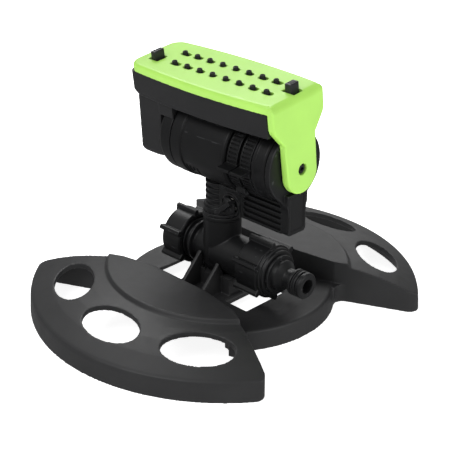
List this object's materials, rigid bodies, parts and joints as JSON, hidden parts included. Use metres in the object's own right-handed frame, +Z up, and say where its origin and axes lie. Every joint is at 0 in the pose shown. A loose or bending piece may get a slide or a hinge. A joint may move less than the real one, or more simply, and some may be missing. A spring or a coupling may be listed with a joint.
{
  "type": "oscillating sprinkler",
  "caption": "Oscillating lawn sprinkler: fan-lobed base with oval holes, water pipe with hose tail and end cap, drive drum with sweep rings, tilting nozzle head with a lime cover.",
  "frame": {"origin": "centre of the base's footprint on the ground", "axes": "+X along the water pipe and the oscillation axis towards the hose inlet, +Y across the lobes towards the back lobe, +Z up"},
  "size_m": [0.1931, 0.2396, 0.1529],
  "materials": {
    "black_plastic": "satin moulded black plastic with a fine texture",
    "drum_plastic": "smooth satin black plastic",
    "lime_plastic": "semi-gloss lime green plastic",
    "rubber": "matt soft black rubber",
    "natural_plastic": "natural acetal",
    "steel": "bright stainless",
    "brass": "machined brass"
  },
  "bodies": {
    "base_unit": {"base_plate": "black_plastic", "pedestal_screw_front": "steel", "pedestal_screw_back": "steel", "tee_body": "black_plastic", "hose_nipple": "black_plastic", "inlet_washer": "rubber", "inlet_filter": "natural_plastic", "nipple_oring": "rubber", "end_cap_washer": "rubber", "riser_body": "black_plastic", "riser_lock_ring": "black_plastic", "riser_oring": "rubber", "drum_left_cap": "drum_plastic", "drum_body": "drum_plastic", "drum_right_cover": "drum_plastic", "gearbox_bulkhead": "natural_plastic", "gearbox_plate": "natural_plastic", "shaft_seal": "rubber", "toggle_spring": "steel", "arm_pivot_pin": "steel"},
    "end_cap": {"end_cap": "black_plastic"},
    "inlet_nut": {"inlet_nut": "black_plastic"},
    "flow_valve": {"flow_knob": "black_plastic", "valve_plug": "natural_plastic"},
    "sweep_ring_left": {"sweep_ring_left": "drum_plastic"},
    "sweep_ring_right": {"sweep_ring_right": "drum_plastic"},
    "trip": {"trip_lever": "drum_plastic", "trip_shaft": "steel", "reverser_vane": "natural_plastic"},
    "turbine": {"turbine_wheel": "natural_plastic", "turbine_shaft": "steel", "turbine_pinion": "brass"},
    "idler": {"idler_gear": "natural_plastic", "idler_shaft": "steel"},
    "head": {"output_shaft": "natural_plastic", "output_gear": "natural_plastic", "left_waterway_arm": "black_plastic", "nozzle_tray": "black_plastic", "tray_gasket": "rubber", "manifold_plate": "natural_plastic", "nozzle_strip_front": "rubber", "nozzle_strip_back": "rubber", "top_cover": "lime_plastic"},
    "width_slider_front": {"width_slider_front": "black_plastic"},
    "width_slider_back": {"width_slider_back": "black_plastic"}
  },
  "joints": [
    {"name": "head_oscillation", "type": "hinge", "parent": "base_unit", "child": "head", "pos_m": [0, 0, 0.103], "axis": [1, 0, 0], "range_deg": [-52, 38]},
    {"name": "idler_spin", "type": "hinge", "parent": "base_unit", "child": "idler", "pos_m": [0, 0.00873, 0.0908], "axis": [1, 0, 0], "range_deg": [-155, 212]},
    {"name": "turbine_spin", "type": "hinge", "parent": "base_unit", "child": "turbine", "pos_m": [0, 0, 0.093], "axis": [1, 0, 0], "range_deg": [-420, 310]},
    {"name": "flow_valve_turn", "type": "hinge", "parent": "base_unit", "child": "flow_valve", "pos_m": [0.01345, 0, 0.069], "axis": [0, 1, 0], "range_deg": [-49, 41]},
    {"name": "sweep_ring_left_turn", "type": "hinge", "parent": "base_unit", "child": "sweep_ring_left", "pos_m": [0, 0, 0.103], "axis": [1, 0, 0], "range_deg": [-100, 14]},
    {"name": "sweep_ring_right_turn", "type": "hinge", "parent": "base_unit", "child": "sweep_ring_right", "pos_m": [0, 0, 0.103], "axis": [1, 0, 0], "range_deg": [-100, 14]},
    {"name": "trip_swing", "type": "hinge", "parent": "base_unit", "child": "trip", "pos_m": [0, 0, 0.103], "axis": [1, 0, 0], "range_deg": [-12, 12]},
    {"name": "end_cap_turn", "type": "hinge", "parent": "base_unit", "child": "end_cap", "pos_m": [0, 0, 0.0315], "axis": [-1, 0, 0], "range_deg": [0, 720]},
    {"name": "inlet_nut_turn", "type": "hinge", "parent": "base_unit", "child": "inlet_nut", "pos_m": [0, 0, 0.0315], "axis": [1, 0, 0], "range_deg": [0, 720]},
    {"name": "width_slide_front", "type": "slide", "parent": "head", "child": "width_slider_front", "axis": [1, 0, 0], "range_m": [-0.002, 0.002]},
    {"name": "width_slide_back", "type": "slide", "parent": "head", "child": "width_slider_back", "axis": [1, 0, 0], "range_m": [-0.002, 0.002]}
  ],
  "couplings": [
    {"joint": "idler_spin", "follows": "head_oscillation", "ratio": -4},
    {"joint": "turbine_spin", "follows": "head_oscillation", "ratio": 8}
  ]
}
